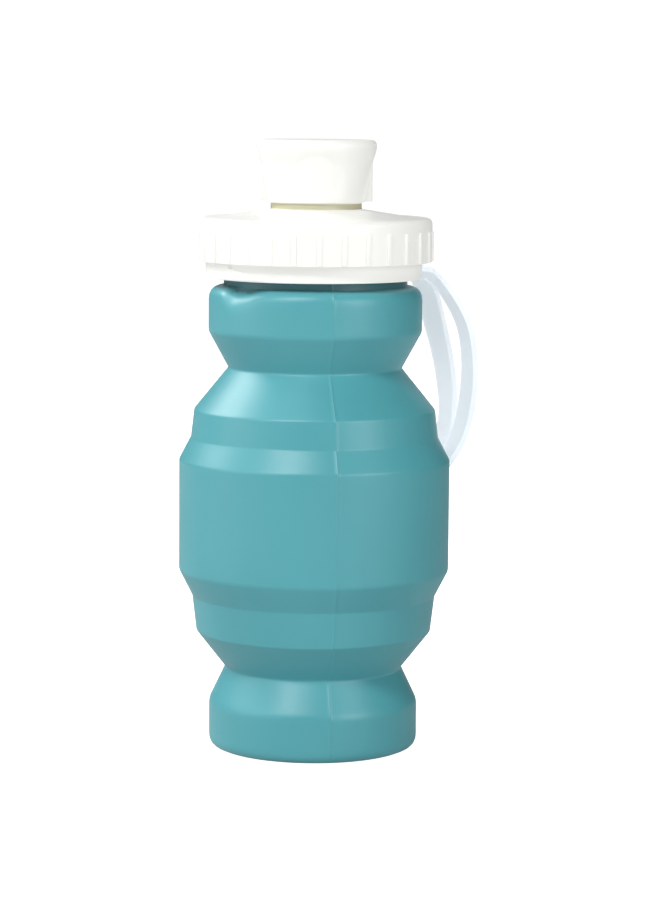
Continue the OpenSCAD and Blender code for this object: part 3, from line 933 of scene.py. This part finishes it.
def moulded(name, deep, light, edge_and_speck_tone, rough, grain_height, fine_scale, edge, specks, **body):
    """A moulded material. Colours are linear, rough is (low, high), grain_height is in mm."""
    material = bpy.data.materials.new(name)
    material.use_nodes = True
    tree = material.node_tree
    shader = tree.nodes["Principled BSDF"]
    tone = node(tree, "ShaderNodeGroup", node_tree=drift)
    tone.inputs["Scale"].default_value = DRIFT_SCALE
    texture = node(tree, "ShaderNodeGroup", node_tree=grain)
    texture.inputs["Fine Scale"].default_value = fine_scale
    # the edge tone is partly rubbing and partly a painted highlight, on the strap a painted shade
    edge_mask = node(tree, "ShaderNodeGroup", node_tree=edge_group)
    no_edge_tone = node(tree, "ShaderNodeAttribute", attribute_name="no_edge_tone")
    allowed = node(tree, "ShaderNodeMath", {0: -edge, 1: no_edge_tone.outputs["Fac"], 2: edge},
                   operation="MULTIPLY_ADD")
    base = node(tree, "ShaderNodeMix", {0: tone.outputs["Value"], 6: (*deep, 1), 7: (*light, 1)},
                data_type="RGBA")
    edge_share = node(tree, "ShaderNodeMath", {0: edge_mask.outputs["Mask"], 1: allowed.outputs[0]},
                      operation="MULTIPLY")
    edge_toned = node(tree, "ShaderNodeMix", {0: edge_share.outputs[0], 6: base.outputs[2], 7: (*edge_and_speck_tone, 1)},
                data_type="RGBA")
    speck = node(tree, "ShaderNodeMath", {0: texture.outputs["Mask"], 1: specks}, operation="MULTIPLY")
    speckled = node(tree, "ShaderNodeMix", {0: speck.outputs[0], 6: edge_toned.outputs[2], 7: (*edge_and_speck_tone, 1)},
                    data_type="RGBA")
    # painted shade: the throat's wall is mixed towards a dark copy of the deep tone
    painted_throat_shade = node(tree, "ShaderNodeAttribute", attribute_name="painted_throat_shade")
    throat_shade_share = node(tree, "ShaderNodeMath", {0: painted_throat_shade.outputs["Fac"], 1: THROAT_SHADE_SHARE},
                  operation="MULTIPLY")
    shade = [value * THROAT_SHADE_TONE for value in deep]
    shaded = node(tree, "ShaderNodeMix", {0: throat_shade_share.outputs[0], 6: speckled.outputs[2], 7: (*shade, 1)},
                  data_type="RGBA")
    tree.links.new(shaded.outputs[2], shader.inputs["Base Color"])
    gloss = node(tree, "ShaderNodeMapRange", {
        "Value": texture.outputs["Height"], "From Min": 0.3, "From Max": 0.7,
        "To Min": rough[0], "To Max": rough[1]})
    tree.links.new(gloss.outputs["Result"], shader.inputs["Roughness"])
    bump = node(tree, "ShaderNodeBump", {
        "Height": texture.outputs["Height"], "Strength": 0.6, "Distance": grain_height * MM})
    tree.links.new(bump.outputs["Normal"], shader.inputs["Normal"])
    for socket, value in body.items():
        shader.inputs[socket.replace("_", " ")].default_value = value
    print(name, "has", len(tree.nodes), "nodes")
    return material


# %% Teal silicone
# its paler edge tone is partly rubbing and partly a painted highlight along the creases
teal = moulded("teal_silicone_matte", deep=(0.062, 0.285, 0.325), light=(0.074, 0.325, 0.365),
               edge_and_speck_tone=(0.16, 0.45, 0.48), rough=(0.34, 0.46), grain_height=0.03, fine_scale=2600.0,
               edge=0.35, specks=0.10, IOR=1.48, Sheen_Weight=0.03, Sheen_Roughness=0.5)

# %% White plastic
# light wanders far inside white plastic, so its shaded side stays pale; a weak glow paints extra light on
# the whole piece
white = moulded("white_plastic_satin", deep=(0.545, 0.546, 0.520), light=(0.570, 0.571, 0.550),
                edge_and_speck_tone=(0.63, 0.63, 0.62), rough=(0.34, 0.46), grain_height=0.012, fine_scale=1900.0,
                edge=0.25, specks=0.08, IOR=1.49, Subsurface_Weight=0.25, Subsurface_Radius=(1.0, 0.9, 0.6),
                Subsurface_Scale=0.0025, Emission_Color=(1.0, 1.0, 0.97, 1), Emission_Strength=0.30)

# %% Milky silicone of the strap
# here too a weak glow paints light on the whole piece, and its edges are painted a little darker than the
# flat sides, as shade
milky = moulded("milky_silicone_strap", deep=(0.54, 0.575, 0.61), light=(0.62, 0.65, 0.68),
                edge_and_speck_tone=(0.40, 0.46, 0.52), rough=(0.30, 0.44), grain_height=0.015, fine_scale=1500.0,
                edge=0.9, specks=0.08, IOR=1.41, Subsurface_Weight=0.55, Subsurface_Radius=(1.0, 1.0, 1.1),
                Subsurface_Scale=0.004, Transmission_Weight=0.25, Emission_Color=(0.93, 0.97, 1.0, 1),
                Emission_Strength=0.36)

# %% Clear silicone of the seals
seal = moulded("clear_silicone_seal", deep=(0.62, 0.66, 0.66), light=(0.70, 0.74, 0.74),
               edge_and_speck_tone=(0.80, 0.83, 0.83), rough=(0.26, 0.38), grain_height=0.01, fine_scale=1500.0,
               edge=0.2, specks=0.05, IOR=1.41, Subsurface_Weight=0.4, Subsurface_Radius=(1.0, 1.0, 1.0),
               Subsurface_Scale=0.003, Transmission_Weight=0.35)

# %% Painted shade on the ring at the spout's foot
# the ring is part of the white lid; a darker yellowish tone paints the shade it sits in under the cap
painted_shade = moulded("ring_painted_shade", deep=(0.45, 0.43, 0.285), light=(0.50, 0.475, 0.32),
                edge_and_speck_tone=(0.72, 0.70, 0.55), rough=(0.36, 0.48), grain_height=0.012, fine_scale=1900.0,
                edge=0.2, specks=0.06, IOR=1.49)

# %% Give every piece its material
for material, pieces in (
        (teal, (base_skin, lower_skin, upper_skin, neck_skin)), (white, (collar, insert, lid, cap)),
        (milky, (strap,)), (seal, (gasket, liner))):
    for piece in pieces:
        piece.data.materials.clear()
        piece.data.materials.append(material)
lid.data.materials.append(painted_shade)


def on_ring(middle, normal):
    r, way, z = polar(middle)
    return ring_foot_z < z < ring_z and spout_r < r < ring_r + 0.1 and outward(middle, normal) > 0.6


print("faces of the cream ring:", pick_faces(lid, on_ring))
lid.active_material_index = 1
bpy.ops.object.material_slot_assign()
clear()

# %% [markdown]
# ## Floor, light and camera
# A bottle like this is shown on white. The floor is a wide pale sheet that the camera sees glow, so that
# it stays white right up to the horizon. On the bottle itself the sky and the floor shed little light.
# Silicone shows its form by soft reflections, so square lamps stand round it, as in a studio: two at the
# upper left of the front, a large panel behind the left for the bright sheen on the cones, two weak ones
# low at the left, and one low at the right.

# %% Floor
FLOOR_GLOW, FLOOR_GLOW_ON_BOTTLE = 1.02, 0.55
GLOW_NONE_Y, GLOW_FULL_Y = 0.15, -0.45
clear()
bpy.ops.mesh.primitive_plane_add(size=30, location=(0, 0, 0))
floor = bpy.context.object
floor.name = "floor"
paper = bpy.data.materials.new("white_paper")
paper.use_nodes = True
paper_shader = paper.node_tree.nodes["Principled BSDF"]
paper_shader.inputs["Roughness"].default_value = 0.9
paper_shader.inputs["Specular IOR Level"].default_value = 0.0
paper_shader.inputs["Base Color"].default_value = (0.45, 0.45, 0.45, 1)
paper_shader.inputs["Emission Color"].default_value = (1, 1, 1, 1)
seen_by_camera = node(paper.node_tree, "ShaderNodeLightPath")
on_floor = node(paper.node_tree, "ShaderNodeTexCoord")
split = node(paper.node_tree, "ShaderNodeSeparateXYZ", {0: on_floor.outputs["Object"]})
front = node(paper.node_tree, "ShaderNodeMapRange", {
    "Value": split.outputs["Y"], "From Min": GLOW_NONE_Y, "From Max": GLOW_FULL_Y,
    "To Min": 0.0, "To Max": FLOOR_GLOW_ON_BOTTLE})
glow = node(paper.node_tree, "ShaderNodeMapRange", {
    "Value": seen_by_camera.outputs["Is Camera Ray"],
    "To Min": front.outputs["Result"], "To Max": FLOOR_GLOW})
paper.node_tree.links.new(glow.outputs["Result"], paper_shader.inputs["Emission Strength"])
floor.data.materials.append(paper)

# %% Sky and lamps
SKY_SEEN, SKY_ON_BOTTLE = 1.05, 0.07
scene = bpy.context.scene
scene.view_settings.view_transform = "Standard"
sky = bpy.data.worlds.new("studio")
scene.world = sky
sky.use_nodes = True
tree = sky.node_tree
backdrop = tree.nodes["Background"]
backdrop.inputs["Color"].default_value = (1, 1, 1, 1)
backdrop.inputs["Strength"].default_value = SKY_SEEN
dimmer = node(tree, "ShaderNodeBackground", {"Color": (0.97, 0.985, 1, 1), "Strength": SKY_ON_BOTTLE})
ray = node(tree, "ShaderNodeLightPath")
choice = node(tree, "ShaderNodeMixShader", {
    0: ray.outputs["Is Camera Ray"], 1: dimmer.outputs[0], 2: backdrop.outputs[0]})
tree.links.new(choice.outputs[0], tree.nodes["World Output"].inputs["Surface"])


LAMP_AIM = Vector((0, 0, 0.1))


def lamp(name, way, height, distance, size, power):
    """A square lamp that looks at the bottle. way is in degrees from +X, height in degrees above level."""
    a, e = math.radians(way), math.radians(height)
    off = Vector((math.cos(a) * math.cos(e), math.sin(a) * math.cos(e), math.sin(e)))
    data = bpy.data.lights.new(name, "AREA")
    data.size, data.energy = size, power
    made = bpy.data.objects.new(name, data)
    scene.collection.objects.link(made)
    made.location = LAMP_AIM + off * distance
    made.rotation_euler = off.to_track_quat("Z", "Y").to_euler()


lamp("key", 234, 38, 3.0, 0.42, 24)
lamp("soft_key", 250, 48, 3.0, 0.8, 34)
lamp("panel_behind_left", 155, 40, 2.0, 1.0, 31)
lamp("left_panel", 190, 12, 1.6, 0.9, 5)
lamp("front_left_panel", 215, 20, 2.0, 0.9, 4)
lamp("right_panel", 316, 18, 2.0, 1.0, 19)

# %% [markdown]
# The camera stands a little above the bottle and looks slightly down. It is nearly a metre away, so the
# rings look flat, as in a product picture. It is turned by about half a degree, because the bottle leans
# a touch.

# %% Camera
DISTANCE, TILT, ROLL, LENS = 0.924, 6.75, 0.45, 119.47
aim = Vector((0.0048, 0, 0.0912))
back = Vector((0, -math.cos(math.radians(TILT)), math.sin(math.radians(TILT))))
data = bpy.data.cameras.new("camera")
data.sensor_width = 36
data.lens = LENS
camera = bpy.data.objects.new("camera", data)
scene.collection.objects.link(camera)
camera.location = aim + back * DISTANCE
turn = back.to_track_quat("Z", "Y")
camera.rotation_euler = turn.to_euler()
camera.rotation_euler.rotate_axis("Z", math.radians(ROLL))
scene.camera = camera
print(f"the camera is {DISTANCE} m away, with a lens of {data.lens:.1f} mm")
